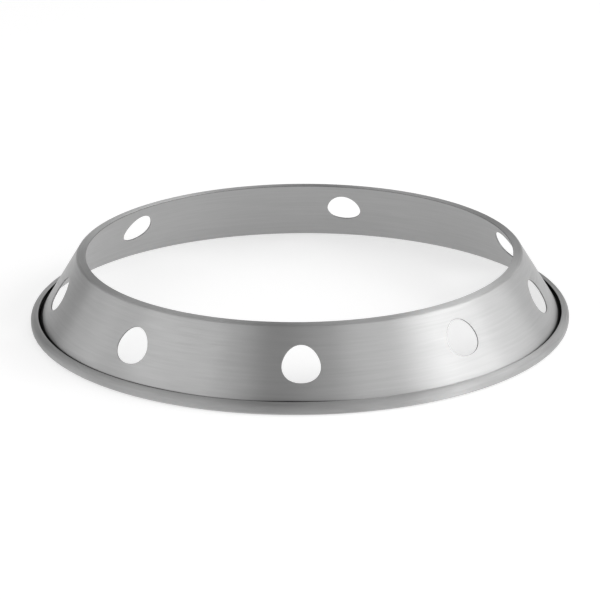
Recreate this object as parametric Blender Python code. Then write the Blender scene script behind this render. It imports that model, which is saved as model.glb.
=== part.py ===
"""Wok ring: one sheet of steel spun into a cone, with a turned-in lip, an open curl at its foot and punched holes.

Units are metres, +Z is up. The origin is the centre of the circle that the ring stands on.
Azimuths are in degrees, counted from the front (-Y) towards +X.
"""

from math import cos, pi, radians, sin, tan
from typing import NamedTuple

import bmesh
import bpy
from mathutils import Matrix, Vector

# Sheet
SHEET = 0.0006

# Lip at the top, turned in level
HEIGHT = 0.0314
LIP_RADIUS = 0.0947
LIP_FLAT = 0.00296
SHOULDER_BEND = 0.0009

# Cone wall
WALL_LEAN = radians(31.6)

# Foot: a tight bend, the narrow land that the ring stands on, and the curl
FOOT_BEND = 0.0003
FOOT_LAND = 0.0004
CURL_FOOT_BEND = 0.0014
CURL_RISE = 0.0007
CURL_CROWN_BEND = 0.0018
CURL_TUCK = radians(25)

# Holes: one punch makes them all, a round that swells into three soft lobes, one of them up the wall,
# and it reaches this many thicknesses of the sheet to each side of it
HOLE_RADIUS = 0.00795
HOLE_LOBE = 0.0003
HOLE_LOBES = 3
PUNCH_REACH = 4

# Fineness of the faceted surfaces
RING_STEPS = 96
HOLE_STEPS = 32
SHOULDER_STEPS = 4
FOOT_STEPS = 2
CURL_FOOT_STEPS = 3
CURL_CROWN_STEPS = 6

STEEL_COLOR = (0.42, 0.42, 0.42, 1.0)
STEEL_ROUGHNESS = 0.44
SHARP_EDGE = radians(32)
MERGE = 0.000001


class Hole(NamedTuple):
    """A punched hole: where it is round the ring, and how far above the wall's middle."""

    name: str
    azimuth: float
    rise: float


HOLES = (
    Hole("front", 0.2, 0.0017),
    Hole("front_right", 39.5, 0.0034),
    Hole("right", 75.8, 0.0016),
    Hole("back_right", 116.2, 0.0005),
    Hole("back", 168.3, 0.0014),
    Hole("back_left", 225.9, 0.0017),
    Hole("left", 280.1, 0.0018),
    Hole("front_left", 319.5, 0.0010),
)


class SheetPath:
    """The sheet's middle line in the (radius, height) plane, laid as a bender would: straights and bends."""

    def __init__(self, start: Vector, heading: float) -> None:
        self.place = start.copy()
        self.heading = heading
        self.stations: list[tuple[Vector, float]] = [(start.copy(), heading)]

    def straight(self, length: float) -> None:
        """Run on along the heading."""
        self.place += length * Vector((cos(self.heading), sin(self.heading)))
        self.stations.append((self.place.copy(), self.heading))

    def bend(self, turn: float, inner_radius: float, steps: int) -> None:
        """Turn to the left for a positive angle, round the sheet's inner bend radius."""
        radius = inner_radius + SHEET / 2
        side = 1 if turn > 0 else -1
        centre = self.place + side * radius * Vector((-sin(self.heading), cos(self.heading)))
        for _ in range(steps):
            self.heading += turn / steps
            self.place = centre - side * radius * Vector((-sin(self.heading), cos(self.heading)))
            self.stations.append((self.place.copy(), self.heading))

    def skin(self, side: int) -> list[Vector]:
        """One face of the sheet, half a thickness to the left (1) or the right (-1) of the middle line."""
        return [place + side * SHEET / 2 * Vector((-sin(a), cos(a))) for place, a in self.stations]


def bend_drop(inner_radius: float) -> float:
    """Height that a bend between level and the wall's slope takes up on the sheet's middle line."""
    return (inner_radius + SHEET / 2) * (1 - sin(WALL_LEAN))


def wall_length() -> float:
    """Straight length of the wall between its two bends, so that the whole ring has its height."""
    drop = HEIGHT - SHEET - bend_drop(SHOULDER_BEND) - bend_drop(FOOT_BEND)
    return drop / cos(WALL_LEAN)


def ring_section() -> SheetPath:
    """The sheet from the lip's inner edge, over the shoulder, down the wall and round the curl."""
    slope = pi / 2 - WALL_LEAN
    path = SheetPath(Vector((LIP_RADIUS, HEIGHT - SHEET / 2)), 0.0)
    path.straight(LIP_FLAT)
    path.bend(-slope, SHOULDER_BEND, SHOULDER_STEPS)
    path.straight(wall_length())
    path.bend(slope, FOOT_BEND, FOOT_STEPS)
    path.straight(FOOT_LAND)
    path.bend(pi / 2, CURL_FOOT_BEND, CURL_FOOT_STEPS)
    path.straight(CURL_RISE)
    path.bend(pi / 2 + CURL_TUCK, CURL_CROWN_BEND, CURL_CROWN_STEPS)
    return path


def wall_middle() -> Vector:
    """Middle of the straight wall on the sheet's middle line, as (radius, height)."""
    top = SHOULDER_BEND + SHEET / 2
    radius = LIP_RADIUS + LIP_FLAT + top * cos(WALL_LEAN) + wall_length() / 2 * sin(WALL_LEAN)
    height = HEIGHT - SHEET / 2 - bend_drop(SHOULDER_BEND) - wall_length() / 2 * cos(WALL_LEAN)
    return Vector((radius, height))


def steel() -> bpy.types.Material:
    """Brushed steel, as the plain colour of the part."""
    material = bpy.data.materials.new("brushed_steel")
    material.use_nodes = True
    shader = material.node_tree.nodes["Principled BSDF"]
    shader.inputs["Base Color"].default_value = STEEL_COLOR
    shader.inputs["Metallic"].default_value = 1.0
    shader.inputs["Roughness"].default_value = STEEL_ROUGHNESS
    return material


def add_object(name: str, shape: bmesh.types.BMesh) -> bpy.types.Object:
    """Turn a finished bmesh into an object of the scene."""
    mesh = bpy.data.meshes.new(name)
    shape.to_mesh(mesh)
    shape.free()
    part = bpy.data.objects.new(name, mesh)
    bpy.context.scene.collection.objects.link(part)
    return part


def spun_ring() -> bpy.types.Object:
    """Spin the sheet's section once round the Z axis."""
    path = ring_section()
    outline = path.skin(1) + path.skin(-1)[::-1]
    shape = bmesh.new()
    points = [shape.verts.new((point.x, 0.0, point.y)) for point in outline]
    edges = [shape.edges.new((a, b)) for a, b in zip(points, points[1:] + points[:1])]
    bmesh.ops.spin(
        shape,
        geom=points + edges,
        cent=(0.0, 0.0, 0.0),
        axis=(0.0, 0.0, 1.0),
        angle=2 * pi,
        steps=RING_STEPS,
    )
    bmesh.ops.remove_doubles(shape, verts=shape.verts, dist=MERGE)
    bmesh.ops.recalc_face_normals(shape, faces=shape.faces)
    return add_object("wok_ring", shape)


def punch(hole: Hole) -> bpy.types.Object:
    """A punch for one hole: the three-lobed round, standing square to the wall and through it."""
    middle = wall_middle()
    depth = PUNCH_REACH * SHEET + HOLE_RADIUS * tan(HOLE_RADIUS / middle.x)
    outward = Vector((cos(WALL_LEAN), 0.0, sin(WALL_LEAN)))
    up_wall = Vector((-sin(WALL_LEAN), 0.0, cos(WALL_LEAN)))
    round_ring = outward.cross(up_wall)
    seat = Vector((middle.x - hole.rise * tan(WALL_LEAN), 0.0, middle.y + hole.rise))
    shape = bmesh.new()
    rims = []
    for reach in (-depth, depth):
        rim = []
        for step in range(HOLE_STEPS):
            angle = 2 * pi * step / HOLE_STEPS
            radius = HOLE_RADIUS + HOLE_LOBE * cos(HOLE_LOBES * (angle - pi / 2))
            across = radius * cos(angle) * round_ring
            along = radius * sin(angle) * up_wall
            rim.append(shape.verts.new(seat - across + along + reach * outward))
        rims.append(rim)
    near, far = rims
    shape.faces.new(near)
    shape.faces.new(far)
    for step in range(HOLE_STEPS):
        after = (step + 1) % HOLE_STEPS
        shape.faces.new((near[step], near[after], far[after], far[step]))
    bmesh.ops.recalc_face_normals(shape, faces=shape.faces)
    cutter = add_object(f"punch_{hole.name}", shape)
    cutter.data.transform(Matrix.Rotation(radians(hole.azimuth) - pi / 2, 4, "Z"))
    cutter.hide_render = True
    cutter.display_type = "WIRE"
    return cutter


def wok_ring() -> bpy.types.Object:
    """The whole ring: spun, punched, smooth-shaded and in its metal."""
    ring = spun_ring()
    ring.data.materials.append(steel())
    ring.data.shade_smooth()
    ring.data.set_sharp_from_angle(angle=SHARP_EDGE)
    for hole in HOLES:
        cut = ring.modifiers.new(f"punch_{hole.name}", "BOOLEAN")
        cut.operation = "DIFFERENCE"
        cut.solver = "EXACT"
        cut.object = punch(hole)
    return ring


def clear_scene() -> None:
    """Remove whatever the scene holds before the ring is made."""
    for item in list(bpy.data.objects):
        bpy.data.objects.remove(item, do_unlink=True)


clear_scene()
wok_ring()
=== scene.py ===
"""A wok ring of spun, brushed steel on a pale studio floor.

Metres, +Z up, with the origin at the centre of the circle that the ring stands on.
Azimuths are in degrees, counted from the front (-Y) towards +X.
"""

import logging
from dataclasses import dataclass, field
from enum import Enum
from math import asin, atan2, cos, degrees, pi, radians, sin, tan

import bmesh
import bpy
from mathutils import Matrix, Vector


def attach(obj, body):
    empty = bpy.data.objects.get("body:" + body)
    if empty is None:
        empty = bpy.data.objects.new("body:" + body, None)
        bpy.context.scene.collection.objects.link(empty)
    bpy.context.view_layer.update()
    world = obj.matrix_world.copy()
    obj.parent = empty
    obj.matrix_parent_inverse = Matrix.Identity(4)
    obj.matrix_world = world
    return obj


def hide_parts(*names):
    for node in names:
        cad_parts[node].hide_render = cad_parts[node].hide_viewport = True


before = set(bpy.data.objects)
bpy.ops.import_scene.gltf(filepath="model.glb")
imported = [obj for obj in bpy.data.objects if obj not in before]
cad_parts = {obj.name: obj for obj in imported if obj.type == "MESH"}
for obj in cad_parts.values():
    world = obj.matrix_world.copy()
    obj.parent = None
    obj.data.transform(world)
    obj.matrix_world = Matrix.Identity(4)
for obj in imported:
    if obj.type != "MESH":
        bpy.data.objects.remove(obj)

log = logging.getLogger("wok_ring")

# The sheet's own map, and what its points carry
BRUSHING = "brushing"
STATION = "station"
# Per point: height above the line of the painted channel shade
ABOVE_PAINTED_SHADE = "above_painted_shade"

# Points nearer than this are one point, in metres
MERGE = 0.000001
# Cut edges are sharper than this before they are rounded
SHARP_CORNER = radians(60)
# Edges that are still sharper than this are shaded sharp
SHADED_SHARP = radians(50)
# Rounds in which a hole's rim settles on the cone
RIM_ROUNDS = 6
# A noise value seldom leaves this range
NOISE_LOW = 0.3
NOISE_HIGH = 0.7
# A quarter turn of the gloss, which spreads it across the brushed lines
ACROSS_LINES = 0.25


class Turn(Enum):
    """Which way the sheet bends, seen along its run from the lip to the curl."""

    LEFT = 1
    RIGHT = -1


class Edge(Enum):
    """The cut edges of the sheet, each rounded in its own way."""

    LIP = "lip"
    CURL_AND_HOLES = "curl_and_holes"


class Slot(Enum):
    """The ring's material slots, in their order."""

    BRUSHED = 0
    SHEARED = 1
    ROLLED = 2


def deselect_all() -> None:
    """Leave nothing selected and nothing active."""
    bpy.ops.object.select_all(action="DESELECT")
    bpy.context.view_layer.objects.active = None


def pick(piece: bpy.types.Object) -> None:
    """Select one piece alone and make it the active one.

    Args:
        piece: the mesh object to work on.
    """
    deselect_all()
    piece.select_set(True)
    bpy.context.view_layer.objects.active = piece


def enter(piece: bpy.types.Object) -> None:
    """Open one piece in edit mode."""
    pick(piece)
    bpy.ops.object.mode_set(mode="EDIT")


def leave() -> None:
    """Close edit mode."""
    bpy.ops.object.mode_set(mode="OBJECT")


def link(tree: bpy.types.NodeTree, source: bpy.types.NodeSocket, target: bpy.types.NodeSocket) -> None:
    """Join two sockets of a node tree."""
    tree.links.new(source, target)


@dataclass(frozen=True)
class BrushedSteel:
    """Steel brushed round the ring: long fine lines, with a soft waver in how smooth they are, and a
    near-black painted shade in the channel between curl and wall.
    """

    name: str = "round_brushed_steel"
    colour: tuple[float, float, float, float] = (0.42, 0.42, 0.42, 1.0)
    # Near-black painted shade for the channel between curl and wall
    painted_shade: tuple[float, float, float, float] = (0.012, 0.012, 0.012, 1.0)
    roughness: float = 0.40
    roughness_waver: float = 0.10
    anisotropy: float = 0.80
    line_length: float = 0.014
    line_pitch: float = 0.00028
    band_length: float = 0.030
    band_pitch: float = 0.0011
    line_depth: float = 0.0000025
    line_detail: float = 3.0
    line_fineness: float = 0.6
    tone_waver: float = 0.04
    # Width of the soft edge of the painted channel shade, in metres
    painted_shade_fade: float = 0.0007

    def material(self) -> bpy.types.Material:
        """Build the node tree.

        Returns:
            The finished material.
        """
        steel = bpy.data.materials.new(self.name)
        steel.use_nodes = True
        tree = steel.node_tree
        shader = tree.nodes["Principled BSDF"]
        shader.inputs["Metallic"].default_value = 1.0
        shader.inputs["Anisotropic"].default_value = self.anisotropy
        shader.inputs["Anisotropic Rotation"].default_value = ACROSS_LINES
        lines = self._lines(tree, self.line_length, self.line_pitch)
        bands = self._lines(tree, self.band_length, self.band_pitch)
        tangent = tree.nodes.new("ShaderNodeTangent")
        tangent.direction_type = "UV_MAP"
        tangent.uv_map = BRUSHING
        link(tree, tangent.outputs["Tangent"], shader.inputs["Tangent"])
        # The base colour carries a near-black painted shade in the channel between curl and wall
        link(tree, self._paint_channel_shade(tree, self._tone(tree, bands)), shader.inputs["Base Color"])
        link(tree, self._smoothness(tree, lines), shader.inputs["Roughness"])
        bump = tree.nodes.new("ShaderNodeBump")
        bump.inputs["Strength"].default_value = 1.0
        bump.inputs["Distance"].default_value = self.line_depth
        link(tree, lines, bump.inputs["Height"])
        link(tree, bump.outputs["Normal"], shader.inputs["Normal"])
        return steel

    def _lines(self, tree: bpy.types.NodeTree, length: float, pitch: float) -> bpy.types.NodeSocket:
        """Lines that run round the ring and change slowly along their length.

        Args:
            tree: the material's node tree.
            length: how far a line runs before it changes, in metres.
            pitch: distance across from line to line, in metres.

        Returns:
            The noise value, from 0 to 1.
        """
        place = tree.nodes.new("ShaderNodeTexCoord")
        run = tree.nodes.new("ShaderNodeUVMap")
        run.uv_map = BRUSHING
        split_place = tree.nodes.new("ShaderNodeSeparateXYZ")
        split_run = tree.nodes.new("ShaderNodeSeparateXYZ")
        link(tree, place.outputs["Object"], split_place.inputs["Vector"])
        link(tree, run.outputs["UV"], split_run.inputs["Vector"])
        joined = tree.nodes.new("ShaderNodeCombineXYZ")
        for source, target, scale in (
            (split_place.outputs["X"], joined.inputs["X"], 1 / length),
            (split_place.outputs["Y"], joined.inputs["Y"], 1 / length),
            (split_run.outputs["Y"], joined.inputs["Z"], RingSection.UNROLLED / pitch),
        ):
            scaled = tree.nodes.new("ShaderNodeMath")
            scaled.operation = "MULTIPLY"
            scaled.inputs[1].default_value = scale
            link(tree, source, scaled.inputs[0])
            link(tree, scaled.outputs["Value"], target)
        noise = tree.nodes.new("ShaderNodeTexNoise")
        noise.inputs["Scale"].default_value = 1.0
        noise.inputs["Detail"].default_value = self.line_detail
        noise.inputs["Roughness"].default_value = self.line_fineness
        link(tree, joined.outputs["Vector"], noise.inputs["Vector"])
        return noise.outputs["Fac"]

    def _tone(self, tree: bpy.types.NodeTree, bands: bpy.types.NodeSocket) -> bpy.types.NodeSocket:
        """Let the steel's tone waver a little from band to band.

        Args:
            tree: the material's node tree.
            bands: the noise of the broad bands.

        Returns:
            The clean steel's colour.
        """
        ramp = tree.nodes.new("ShaderNodeValToRGB")
        dark, light = ramp.color_ramp.elements
        dark.position, light.position = NOISE_LOW, NOISE_HIGH
        dark.color = tuple(c * (1 - self.tone_waver) for c in self.colour[:3]) + (1.0,)
        light.color = tuple(c * (1 + self.tone_waver) for c in self.colour[:3]) + (1.0,)
        link(tree, bands, ramp.inputs["Fac"])
        return ramp.outputs["Color"]

    def _paint_channel_shade(self, tree: bpy.types.NodeTree, clean: bpy.types.NodeSocket) -> bpy.types.NodeSocket:
        """Paint the steel near-black below the shade's upper line, a painted shade for the channel between
        curl and wall, with a soft fade across the line.

        Args:
            tree: the material's node tree.
            clean: the clean steel's colour.

        Returns:
            The colour with the residue on it.
        """
        # Reads how far each point lies above the painted channel shade's line
        above = tree.nodes.new("ShaderNodeAttribute")
        above.attribute_name = ABOVE_PAINTED_SHADE
        share = tree.nodes.new("ShaderNodeMapRange")
        share.interpolation_type = "SMOOTHSTEP"
        share.inputs["From Min"].default_value = -self.painted_shade_fade / 2
        share.inputs["From Max"].default_value = self.painted_shade_fade / 2
        share.inputs["To Min"].default_value = 1.0
        share.inputs["To Max"].default_value = 0.0
        painted_dark = tree.nodes.new("ShaderNodeMix")
        painted_dark.data_type = "RGBA"
        painted_dark.inputs["B"].default_value = self.painted_shade
        link(tree, above.outputs["Fac"], share.inputs["Value"])
        link(tree, share.outputs["Result"], painted_dark.inputs["Factor"])
        link(tree, clean, painted_dark.inputs["A"])
        return painted_dark.outputs["Result"]

    def _smoothness(self, tree: bpy.types.NodeTree, lines: bpy.types.NodeSocket) -> bpy.types.NodeSocket:
        """Let the roughness follow the brushed lines.

        Args:
            tree: the material's node tree.
            lines: the noise of the fine lines.

        Returns:
            The roughness.
        """
        spread = tree.nodes.new("ShaderNodeMapRange")
        spread.inputs["From Min"].default_value = NOISE_LOW
        spread.inputs["From Max"].default_value = NOISE_HIGH
        spread.inputs["To Min"].default_value = self.roughness - self.roughness_waver / 2
        spread.inputs["To Max"].default_value = self.roughness + self.roughness_waver / 2
        link(tree, lines, spread.inputs["Value"])
        return spread.outputs["Result"]


@dataclass(frozen=True)
class ShearedSteel:
    """The bare cut edge of the sheet, grained through its thickness, its colour kept dark as a painted shade
    on the lit edge.
    """

    name: str = "sheared_steel"
    # Real grain runs between these two tones; their overall darkness is a painted shade on the lit cut edge
    dark: tuple[float, float, float, float] = (0.18, 0.18, 0.18, 1.0)
    light: tuple[float, float, float, float] = (0.30, 0.30, 0.30, 1.0)
    roughness: float = 0.38
    grain: float = 2600.0

    def material(self) -> bpy.types.Material:
        """Build the node tree.

        Returns:
            The finished material.
        """
        steel = bpy.data.materials.new(self.name)
        steel.use_nodes = True
        tree = steel.node_tree
        shader = tree.nodes["Principled BSDF"]
        shader.inputs["Metallic"].default_value = 1.0
        shader.inputs["Roughness"].default_value = self.roughness
        place = tree.nodes.new("ShaderNodeTexCoord")
        noise = tree.nodes.new("ShaderNodeTexNoise")
        noise.inputs["Scale"].default_value = self.grain
        ramp = tree.nodes.new("ShaderNodeValToRGB")
        ramp.color_ramp.elements[0].color = self.dark
        ramp.color_ramp.elements[1].color = self.light
        link(tree, place.outputs["Object"], noise.inputs["Vector"])
        link(tree, noise.outputs["Fac"], ramp.inputs["Fac"])
        link(tree, ramp.outputs["Color"], shader.inputs["Base Color"])
        return steel


@dataclass(frozen=True)
class PaleFloor:
    """A matt pale floor that keeps the ring's shadow, lifted towards white for what looks at it."""

    name: str = "pale_floor"
    colour: tuple[float, float, float, float] = (0.60, 0.60, 0.60, 1.0)
    mottle: float = 0.01
    mottle_scale: float = 3.0
    lift: float = 0.55

    def material(self) -> bpy.types.Material:
        """Build the node tree.

        Returns:
            The finished material.
        """
        floor = bpy.data.materials.new(self.name)
        floor.use_nodes = True
        tree = floor.node_tree
        tree.nodes.clear()
        place = tree.nodes.new("ShaderNodeTexCoord")
        noise = tree.nodes.new("ShaderNodeTexNoise")
        noise.inputs["Scale"].default_value = self.mottle_scale
        ramp = tree.nodes.new("ShaderNodeValToRGB")
        ramp.color_ramp.elements[0].color = tuple(c - self.mottle for c in self.colour[:3]) + (1.0,)
        ramp.color_ramp.elements[1].color = tuple(c + self.mottle for c in self.colour[:3]) + (1.0,)
        matt = tree.nodes.new("ShaderNodeBsdfDiffuse")
        glow = tree.nodes.new("ShaderNodeEmission")
        both = tree.nodes.new("ShaderNodeAddShader")
        end = tree.nodes.new("ShaderNodeOutputMaterial")
        link(tree, place.outputs["Object"], noise.inputs["Vector"])
        link(tree, noise.outputs["Fac"], ramp.inputs["Fac"])
        link(tree, ramp.outputs["Color"], matt.inputs["Color"])
        link(tree, looking_rays(tree, self.lift), glow.inputs["Strength"])
        link(tree, matt.outputs["BSDF"], both.inputs[0])
        link(tree, glow.outputs["Emission"], both.inputs[1])
        link(tree, both.outputs["Shader"], end.inputs["Surface"])
        return floor


def looking_rays(tree: bpy.types.NodeTree, level: float) -> bpy.types.NodeSocket:
    """A value for the rays that look at a surface: the camera's, and those that metal and glass send on.

    Args:
        tree: the node tree to build in.
        level: the value for those rays. It is 0 for all others.

    Returns:
        The value's socket.
    """
    path = tree.nodes.new("ShaderNodeLightPath")
    total = path.outputs["Is Camera Ray"]
    for name in ("Is Glossy Ray", "Is Transmission Ray"):
        add = tree.nodes.new("ShaderNodeMath")
        add.operation = "MAXIMUM"
        link(tree, total, add.inputs[0])
        link(tree, path.outputs[name], add.inputs[1])
        total = add.outputs["Value"]
    scaled = tree.nodes.new("ShaderNodeMath")
    scaled.operation = "MULTIPLY"
    scaled.inputs[1].default_value = level
    link(tree, total, scaled.inputs[0])
    return scaled.outputs["Value"]


@dataclass(frozen=True)
class Station:
    """A point of the sheet's middle line: its place, its run along the sheet, and the sheet's heading."""

    radius: float
    height: float
    run: float
    heading: float


@dataclass
class RingSection:
    """The sheet's section from the lip's inner edge, over the shoulder, down the wall and round the curl.

    UNROLLED is the length of sheet that one height of its map stands for. The curl and the near-black
    painted shade in the channel lie below foot_zone. The shade's line gives how high that painted shade
    reaches on the wall, as pairs of azimuth in degrees and height, and far_off stands for a point well clear
    of it or deep in it.
    """

    UNROLLED = 0.1

    sheet: float = 0.0006
    height: float = 0.0314
    lip_radius: float = 0.0947
    lip_flat: float = 0.00296
    shoulder_bend: float = 0.0009
    wall_lean: float = radians(31.6)
    foot_bend: float = 0.0003
    foot_land: float = 0.0004
    curl_foot_bend: float = 0.0014
    curl_rise: float = 0.0007
    curl_crown_bend: float = 0.0018
    curl_tuck: float = radians(25)
    foot_zone: float = 0.0085
    far_off: float = 0.01
    # How high the painted channel shade reaches, by azimuth; it stands in for the channel's shadow
    painted_shade_line: tuple[tuple[float, float], ...] = (
        (-180, 0.0058),
        (-94, 0.0067),
        (-86, 0.0053),
        (-75, 0.0044),
        (-60, 0.0042),
        (-30, 0.0045),
        (-12, 0.0044),
        (-2, 0.0047),
        (5, 0.0045),
        (11, 0.0042),
        (22, 0.0037),
        (50, 0.0037),
        (75, 0.0041),
        (86, 0.0049),
        (94, 0.0060),
        (180, 0.0058),
    )
    lip_rows: int = 3
    shoulder_rows: int = 6
    wall_rows: int = 30
    foot_rows: int = 4
    curl_foot_rows: int = 8
    curl_crown_rows: int = 14
    stations: list[Station] = field(default_factory=list)

    def __post_init__(self) -> None:
        """Lay the middle line, one straight or bend after the other."""
        self.heading = 0.0
        self.stations.append(Station(self.lip_radius, self.height - self.sheet / 2, 0.0, 0.0))
        slope = pi / 2 - self.wall_lean
        self._straight(self.lip_flat, self.lip_rows)
        self._bend(Turn.RIGHT, slope, self.shoulder_bend, self.shoulder_rows)
        self.wall_top = len(self.stations) - 1
        self._straight(self.wall_length, self.wall_rows)
        self._bend(Turn.LEFT, slope, self.foot_bend, self.foot_rows)
        self._straight(self.foot_land, 1)
        self._bend(Turn.LEFT, pi / 2, self.curl_foot_bend, self.curl_foot_rows)
        self._straight(self.curl_rise, 1)
        self._bend(Turn.LEFT, pi / 2 + self.curl_tuck, self.curl_crown_bend, self.curl_crown_rows)

    @property
    def wall_length(self) -> float:
        """Straight length of the wall between its two bends.

        Returns:
            The length, in metres.
        """
        bends = self.shoulder_bend + self.foot_bend + self.sheet
        drop = self.height - self.sheet - bends * (1 - sin(self.wall_lean))
        return drop / cos(self.wall_lean)

    def _add(self, step: Vector) -> None:
        """Add a station at a step from the last one.

        Args:
            step: along the sheet's middle line, as (radius, height).
        """
        last = self.stations[-1]
        place = Vector((last.radius, last.height)) + step
        self.stations.append(Station(place.x, place.y, last.run + step.length, self.heading))

    def _straight(self, length: float, rows: int) -> None:
        """Run straight on.

        Args:
            length: how far, in metres.
            rows: how many rows of faces it takes.
        """
        for _ in range(rows):
            self._add(length / rows * Vector((cos(self.heading), sin(self.heading))))

    def _bend(self, turn: Turn, angle: float, inner_radius: float, rows: int) -> None:
        """Bend the sheet.

        Args:
            turn: to the left or to the right.
            angle: how far it turns, in radians.
            inner_radius: radius on the inside of the bend.
            rows: how many rows of faces it takes.
        """
        step = angle / rows
        chord = 2 * (inner_radius + self.sheet / 2) * sin(step / 2)
        for _ in range(rows):
            middle = self.heading + turn.value * step / 2
            self.heading += turn.value * step
            self._add(chord * Vector((cos(middle), sin(middle))))

    def on_wall(self, azimuth: float, up: float) -> Vector:
        """A point of the wall's middle surface.

        Args:
            azimuth: in radians.
            up: distance up the slope from the wall's middle.

        Returns:
            The point in space.
        """
        radius = self.wall_middle.x - up * sin(self.wall_lean)
        height = self.wall_middle.y + up * cos(self.wall_lean)
        return Vector((radius * sin(azimuth), -radius * cos(azimuth), height))

    def _near_foot(self, spot: Vector) -> Station:
        """The station of the sheet's lower half that lies nearest to a point.

        Args:
            spot: the point, as (radius, height).

        Returns:
            The station.
        """
        foot = self.stations[self.wall_top + self.wall_rows // 2:]
        return min(foot, key=lambda station: (Vector((station.radius, station.height)) - spot).length)

    def is_rolled(self, spot: Vector) -> bool:
        """Whether a point of the sheet's skin is on the lip or the curl, which are rolled and not brushed.

        Args:
            spot: the point, as (radius, height).

        Returns:
            True on the lip, with its shoulder, and on the curl.
        """
        if spot.y > self.foot_zone:
            return spot.y > self.stations[self.wall_top].height - self.sheet / 2
        return self._near_foot(spot).radius > self.stations[self.wall_top + self.wall_rows].radius

    def above_painted_shade(self, spot: Vector, azimuth: float) -> float:
        """How far a point of the sheet's skin lies above the near-black painted shade in the channel between
        curl and wall.

        Args:
            spot: the point, as (radius, height).
            azimuth: in radians.

        Returns:
            The height above the painted shade's upper line, negative where the painted shade stays.
        """
        if spot.y > self.foot_zone:
            return self.far_off
        near = self._near_foot(spot)
        left = Vector((-sin(near.heading), cos(near.heading)))
        if (spot - Vector((near.radius, near.height))).dot(left) < 0:
            return self.far_off
        # The curl's channel side is painted near-black all over, a painted shade inside the curl
        if self.is_rolled(spot):
            return -self.far_off
        return spot.y - self._painted_shade_height(degrees(azimuth))

    def _painted_shade_height(self, azimuth: float) -> float:
        """How high on the wall the painted shade reaches.

        Args:
            azimuth: in degrees, from -180 to 180.

        Returns:
            The height, read between the two nearest entries of the line.
        """
        for (start, low), (end, high) in zip(self.painted_shade_line, self.painted_shade_line[1:]):
            if azimuth <= end:
                return low + (high - low) * (azimuth - start) / (end - start)
        return self.painted_shade_line[-1][1]

    @property
    def wall_middle(self) -> Vector:
        """Middle of the straight wall.

        Returns:
            The point, as (radius, height).
        """
        top, foot = self.stations[self.wall_top], self.stations[self.wall_top + self.wall_rows]
        return Vector(((top.radius + foot.radius) / 2, (top.height + foot.height) / 2))


@dataclass(frozen=True)
class Hole:
    """A punched hole: its azimuth in degrees, and how far above the wall's middle it lies."""

    name: str
    azimuth: float
    rise: float


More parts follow.
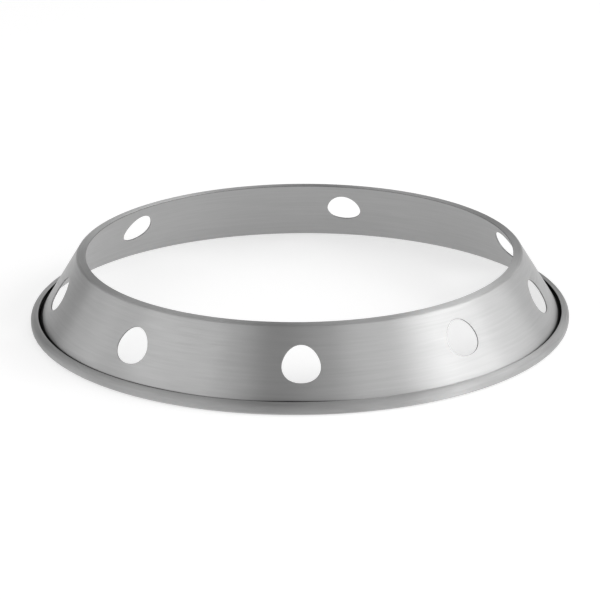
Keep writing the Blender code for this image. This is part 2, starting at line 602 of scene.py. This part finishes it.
@dataclass
class WokRing:
    """The whole ring: its section is spun, its holes are punched, and the sheet gets its thickness."""

    section: RingSection = field(default_factory=RingSection)
    steps: int = 576
    hole_radius: float = 0.00795
    hole_lobe: float = 0.0003
    hole_lobes: int = 3
    rim_cells: int = 8
    collar_cells: int = 11
    lip_round: float = 0.00026
    lip_round_rows: int = 4
    cut_round: float = 0.00013
    cut_round_rows: int = 3
    holes: tuple[Hole, ...] = (
        Hole("front", 0.2, 0.0017),
        Hole("front_right", 39.5, 0.0034),
        Hole("right", 75.8, 0.0016),
        Hole("back_right", 116.2, 0.0005),
        Hole("back", 168.3, 0.0014),
        Hole("back_left", 225.9, 0.0017),
        Hole("left", 280.1, 0.0018),
        Hole("front_left", 319.5, 0.0010),
    )
    face: BrushedSteel = field(default_factory=BrushedSteel)
    cut: ShearedSteel = field(default_factory=ShearedSteel)
    rolled: BrushedSteel = BrushedSteel(
        name="rolled_steel",
        colour=(0.50, 0.50, 0.50, 1.0),
        roughness=0.50,
        anisotropy=1.0,
    )

    def build(self) -> bpy.types.Object:
        """Make the ring and put it on the frame.

        Returns:
            The finished piece.
        """
        ring = self._spin()
        for hole in self.holes:
            self._punch(ring, hole)
            log.info("hole %s punched at %.1f degrees", hole.name, hole.azimuth)
        self._map_brushing(ring)
        self._thicken(ring)
        self._round(ring, Edge.LIP, self.lip_round, self.lip_round_rows)
        self._round(ring, Edge.CURL_AND_HOLES, self.cut_round, self.cut_round_rows)
        self._finish_rolls(ring)
        self._smooth(ring)
        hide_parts("wok_ring")
        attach(ring, "root")
        log.info("ring: %d faces", len(ring.data.polygons))
        return ring

    def _spin(self) -> bpy.types.Object:
        """Draw the section from one corner point outwards, then spin it once round.

        Returns:
            The bare sheet, with no thickness yet.
        """
        stations = self.section.stations
        deselect_all()
        bpy.ops.mesh.primitive_plane_add(size=self.section.sheet, location=(0.0, 0.0, 0.0))
        ring = bpy.context.object
        ring.name = ring.data.name = "spun_ring"
        enter(ring)
        bpy.ops.mesh.select_all(action="SELECT")
        bpy.ops.mesh.merge(type="CENTER")
        bpy.ops.transform.translate(value=(stations[0].radius, 0.0, stations[0].height))
        self._mark(ring, 0)
        for index, (last, here) in enumerate(zip(stations, stations[1:]), start=1):
            step = (here.radius - last.radius, 0.0, here.height - last.height)
            bpy.ops.mesh.extrude_vertices_move(TRANSFORM_OT_translate={"value": step})
            self._mark(ring, index)
        bpy.ops.mesh.select_all(action="SELECT")
        bpy.ops.mesh.spin(steps=self.steps, angle=2 * pi, center=(0.0, 0.0, 0.0), axis=(0.0, 0.0, 1.0))
        bpy.ops.mesh.select_all(action="SELECT")
        bpy.ops.mesh.remove_doubles(threshold=MERGE)
        bpy.ops.mesh.normals_make_consistent(inside=False)
        leave()
        return ring

    def _mark(self, ring: bpy.types.Object, index: int) -> None:
        """Write a station's number on the selected point.

        Args:
            ring: the piece, in edit mode.
            index: the station's number.
        """
        shape = bmesh.from_edit_mesh(ring.data)
        layer = shape.verts.layers.int.get(STATION) or shape.verts.layers.int.new(STATION)
        for point in shape.verts:
            if point.select:
                point[layer] = index
        bmesh.update_edit_mesh(ring.data)

    def _outline(self, hole: Hole, angle: float) -> tuple[float, float]:
        """A point of a hole's rim, punched square to the wall.

        Args:
            hole: the hole.
            angle: angle round the hole, with a quarter turn straight up the wall.

        Returns:
            Its azimuth in radians, and its distance up the slope from the wall's middle.
        """
        lean = self.section.wall_lean
        radius = self.hole_radius + self.hole_lobe * cos(self.hole_lobes * (angle - pi / 2))
        across, along = radius * cos(angle), radius * sin(angle)
        seat = self.section.wall_middle.x - hole.rise * tan(lean)
        height = along * cos(lean)
        for _ in range(RIM_ROUNDS):
            here = seat - height * tan(lean)
            swing = asin(across / here)
            height = (along + sin(lean) * (here * cos(swing) - seat)) / cos(lean)
        return radians(hole.azimuth) + swing, (hole.rise + height) / cos(lean)

    def _punch(self, ring: bpy.types.Object, hole: Hole) -> None:
        """Draw the wall's grid in to the hole's rim, and delete what lies inside it.

        Args:
            ring: the bare sheet.
            hole: the hole to punch.
        """
        section = self.section
        pitch = 2 * pi / self.steps
        row = section.wall_length / section.wall_rows
        column_of_hole = round(radians(hole.azimuth) / pitch)
        row_of_hole = round((section.wall_length / 2 - hole.rise / cos(section.wall_lean)) / row)
        enter(ring)
        bpy.ops.mesh.select_mode(type="VERT")
        bpy.ops.mesh.select_all(action="DESELECT")
        shape = bmesh.from_edit_mesh(ring.data)
        layer = shape.verts.layers.int[STATION]
        moves = []
        for point in shape.verts:
            wall_row = point[layer] - section.wall_top
            down = wall_row - row_of_hole
            if abs(down) >= self.collar_cells or not 0 <= wall_row <= section.wall_rows:
                continue
            azimuth = atan2(point.co.x, -point.co.y)
            column = round(azimuth / pitch) - column_of_hole
            column = (column + self.steps // 2) % self.steps - self.steps // 2
            square = max(abs(column), abs(down))
            if square < self.rim_cells:
                point.select = True
            elif square < self.collar_cells:
                moves.append((point, column, -down, square))
        for point, column, up, square in moves:
            rim_azimuth, rim_up = self._outline(hole, self._angle(column, up, square))
            share = (square - self.rim_cells) / (self.collar_cells - self.rim_cells)
            own_azimuth = (column + column_of_hole) * pitch
            own_up = section.wall_length / 2 - (row_of_hole - up) * row
            azimuth = rim_azimuth + share * (own_azimuth - rim_azimuth)
            point.co = section.on_wall(azimuth, rim_up + share * (own_up - rim_up))
        shape.select_flush_mode()
        bmesh.update_edit_mesh(ring.data)
        bpy.ops.mesh.delete(type="VERT")
        leave()

    def _angle(self, column: int, up: int, square: int) -> float:
        """Angle round a hole for a point on one of the squares of the wall's grid.

        Args:
            column: columns from the hole's middle, along the azimuth.
            up: rows above the hole's middle.
            square: the larger of the two, in size.

        Returns:
            The angle, evenly spaced along the square.
        """
        eighth = pi / 4
        if column == square:
            return eighth * up / square
        if up == square:
            return pi / 2 - eighth * column / square
        if column == -square:
            return pi - eighth * up / square
        return 3 * pi / 2 + eighth * column / square

    def _map_brushing(self, ring: bpy.types.Object) -> None:
        """Lay the sheet's own map: round the ring one way, along the sheet's run the other.

        Args:
            ring: the punched sheet.
        """
        section = self.section
        wall = range(section.wall_top, section.wall_top + section.wall_rows + 1)
        wall_start = section.stations[section.wall_top]
        shape = bmesh.new()
        shape.from_mesh(ring.data)
        layer = shape.verts.layers.int[STATION]
        chart = shape.loops.layers.uv.new(BRUSHING)
        for face in shape.faces:
            centre = face.calc_center_median()
            facing = atan2(centre.x, -centre.y)
            for corner in face.loops:
                point = corner.vert
                run = section.stations[point[layer]].run
                if point[layer] in wall:
                    run = wall_start.run + (wall_start.height - point.co.z) / cos(section.wall_lean)
                turn = atan2(point.co.x, -point.co.y) - facing
                azimuth = facing + (turn + pi) % (2 * pi) - pi
                corner[chart].uv = (azimuth / (2 * pi), run / section.UNROLLED)
        shape.verts.layers.int.remove(layer)
        shape.to_mesh(ring.data)
        shape.free()

    def _thicken(self, ring: bpy.types.Object) -> None:
        """Give the sheet its thickness, half to each side, with its cut edges in their own steel.

        Args:
            ring: the punched sheet.
        """
        finishes = {Slot.BRUSHED: self.face, Slot.SHEARED: self.cut, Slot.ROLLED: self.rolled}
        ring.data.materials.clear()
        for slot in Slot:
            ring.data.materials.append(finishes[slot].material())
        solid = ring.modifiers.new("thickness", "SOLIDIFY")
        solid.thickness = self.section.sheet
        solid.offset = 0.0
        solid.use_even_offset = True
        solid.material_offset_rim = Slot.SHEARED.value
        pick(ring)
        bpy.ops.object.modifier_apply(modifier=solid.name)

    def _round(self, ring: bpy.types.Object, edge: Edge, reach: float, rows: int) -> None:
        """Round the sharp corners of a cut edge.

        Args:
            ring: the thick sheet.
            edge: which cut edge.
            reach: how far the round reaches from the corner.
            rows: how many rows of faces it takes.
        """
        enter(ring)
        bpy.ops.mesh.select_mode(type="EDGE")
        bpy.ops.mesh.select_all(action="DESELECT")
        bpy.ops.mesh.edges_select_sharp(sharpness=SHARP_CORNER)
        shape = bmesh.from_edit_mesh(ring.data)
        within = self.section.lip_radius + self.section.sheet / 4
        for line in shape.edges:
            if line.select:
                at_lip = line.verts[0].co.xy.length < within
                line.select = at_lip == (edge is Edge.LIP)
        shape.select_flush_mode()
        bmesh.update_edit_mesh(ring.data)
        bpy.ops.mesh.bevel(offset=reach, segments=rows, affect="EDGES", clamp_overlap=False)
        leave()

    def _finish_rolls(self, ring: bpy.types.Object) -> None:
        """Give the lip and the curl their own finish, and measure each point against the painted shade's
        line.

        Args:
            ring: the rounded piece.
        """
        above = ring.data.attributes.new(ABOVE_PAINTED_SHADE, "FLOAT", "POINT")
        rolled = []
        for point, height in zip(ring.data.vertices, above.data):
            spot = Vector((point.co.xy.length, point.co.z))
            height.value = self.section.above_painted_shade(spot, atan2(point.co.x, -point.co.y))
            rolled.append(self.section.is_rolled(spot))
        for face in ring.data.polygons:
            if face.material_index == Slot.BRUSHED.value and all(rolled[point] for point in face.vertices):
                face.material_index = Slot.ROLLED.value

    def _smooth(self, ring: bpy.types.Object) -> None:
        """Shade the ring smooth, with normals that follow its large faces.

        Args:
            ring: the rounded piece.
        """
        pick(ring)
        bpy.ops.object.shade_smooth_by_angle(angle=SHADED_SHARP)
        weighted = ring.modifiers.new("weighted_normals", "WEIGHTED_NORMAL")
        weighted.keep_sharp = True
        bpy.ops.object.modifier_apply(modifier=weighted.name)


@dataclass(frozen=True)
class Softbox:
    """A soft lamp, aimed at the middle of the ring."""

    name: str
    azimuth: float
    elevation: float
    width: float
    height: float
    watts: float
    distance: float = 2.0

    def build(self) -> None:
        """Hang the lamp."""
        lamp = bpy.data.lights.new(self.name, "AREA")
        lamp.shape = "RECTANGLE"
        lamp.size = self.width
        lamp.size_y = self.height
        lamp.energy = self.watts
        holder = bpy.data.objects.new(self.name, lamp)
        bpy.context.scene.collection.objects.link(holder)
        azimuth, elevation = radians(self.azimuth), radians(self.elevation)
        flat = self.distance * cos(elevation)
        holder.location = (flat * sin(azimuth), -flat * cos(azimuth), self.distance * sin(elevation))
        holder.rotation_euler = holder.location.to_track_quat("Z", "Y").to_euler()
        log.info("softbox %s at %.0f, %.0f degrees", self.name, self.azimuth, self.elevation)


@dataclass
class Studio:
    """The floor, the lamps, the room's light and the camera."""

    room_level: float = 0.36
    floor_size: float = 12.0
    floor_cuts: int = 3
    floor_drop: float = 0.0001
    camera_elevation: float = 20.0016
    camera_distance: float = 1.13565
    camera_aim: float = 0.00705
    camera_roll: float = -0.463
    camera_shift: float = 0.0003
    lens: float = 151.93
    sensor: float = 36.0
    floor: PaleFloor = field(default_factory=PaleFloor)
    lamps: tuple[Softbox, ...] = (
        Softbox("key_right", 80.0, 28.0, 1.3, 1.3, 12.6),
        Softbox("side_right", 112.0, 26.0, 0.8, 1.2, 5.4),
        Softbox("back_right", 148.0, 26.0, 0.8, 1.2, 2.4),
        Softbox("front_right", 40.0, 28.0, 1.2, 1.3, 4.8),
        Softbox("low_right", 60.0, 9.0, 0.9, 0.5, 4.8),
        Softbox("low_back_right", 130.0, 9.0, 0.9, 0.5, 0.8),
        Softbox("high_right", 30.0, 60.0, 1.2, 0.9, 3.1),
        Softbox("back", 180.0, 22.0, 1.8, 0.9, 1.6),
        Softbox("low_left", 250.0, 9.0, 0.9, 0.5, 1.6),
        Softbox("side_left", 265.0, 26.0, 0.9, 1.2, 2.8),
        Softbox("fill_left", 298.0, 28.0, 1.3, 1.3, 6.5),
        Softbox("front_left", 326.0, 30.0, 0.7, 1.2, 2.2),
    )

    def build(self) -> None:
        """Set up the whole studio."""
        self._lay_floor()
        self._light_room()
        for lamp in self.lamps:
            lamp.build()
        self._place_camera()
        bpy.context.scene.view_settings.view_transform = "Standard"

    def _lay_floor(self) -> None:
        """Lay the floor just under the ring."""
        deselect_all()
        bpy.ops.mesh.primitive_plane_add(size=self.floor_size, location=(0.0, 0.0, 0.0))
        floor = bpy.context.object
        floor.name = floor.data.name = "floor"
        enter(floor)
        bpy.ops.mesh.select_all(action="SELECT")
        bpy.ops.transform.translate(value=(0.0, 0.0, -self.floor_drop))
        bpy.ops.mesh.subdivide(number_cuts=self.floor_cuts)
        leave()
        floor.data.materials.append(self.floor.material())
        log.info("floor laid")

    def _light_room(self) -> None:
        """Fill the room with an even soft light."""
        world = bpy.data.worlds.new("room")
        bpy.context.scene.world = world
        world.use_nodes = True
        background = world.node_tree.nodes["Background"]
        background.inputs["Color"].default_value = (1.0, 1.0, 1.0, 1.0)
        background.inputs["Strength"].default_value = self.room_level

    def _place_camera(self) -> None:
        """Put the camera in front, looking down at the ring."""
        lens = bpy.data.cameras.new("camera")
        lens.lens = self.lens
        lens.sensor_width = self.sensor
        lens.shift_x = self.camera_shift
        camera = bpy.data.objects.new("camera", lens)
        bpy.context.scene.collection.objects.link(camera)
        elevation = radians(self.camera_elevation)
        flat = self.camera_distance * cos(elevation)
        height = self.camera_distance * sin(elevation)
        pitch = atan2(height - self.camera_aim, flat)
        turned = Matrix.Rotation(pi / 2 - pitch, 3, "X") @ Matrix.Rotation(radians(self.camera_roll), 3, "Z")
        camera.location = (0.0, -flat, height)
        camera.rotation_euler = turned.to_euler()
        bpy.context.scene.camera = camera
        log.info("camera placed")


def main() -> None:
    """Build the ring, then the studio round it."""
    logging.basicConfig(level=logging.INFO, format="%(name)s: %(message)s")
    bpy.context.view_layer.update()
    WokRing().build()
    Studio().build()


if __name__ == "__main__":
    main()
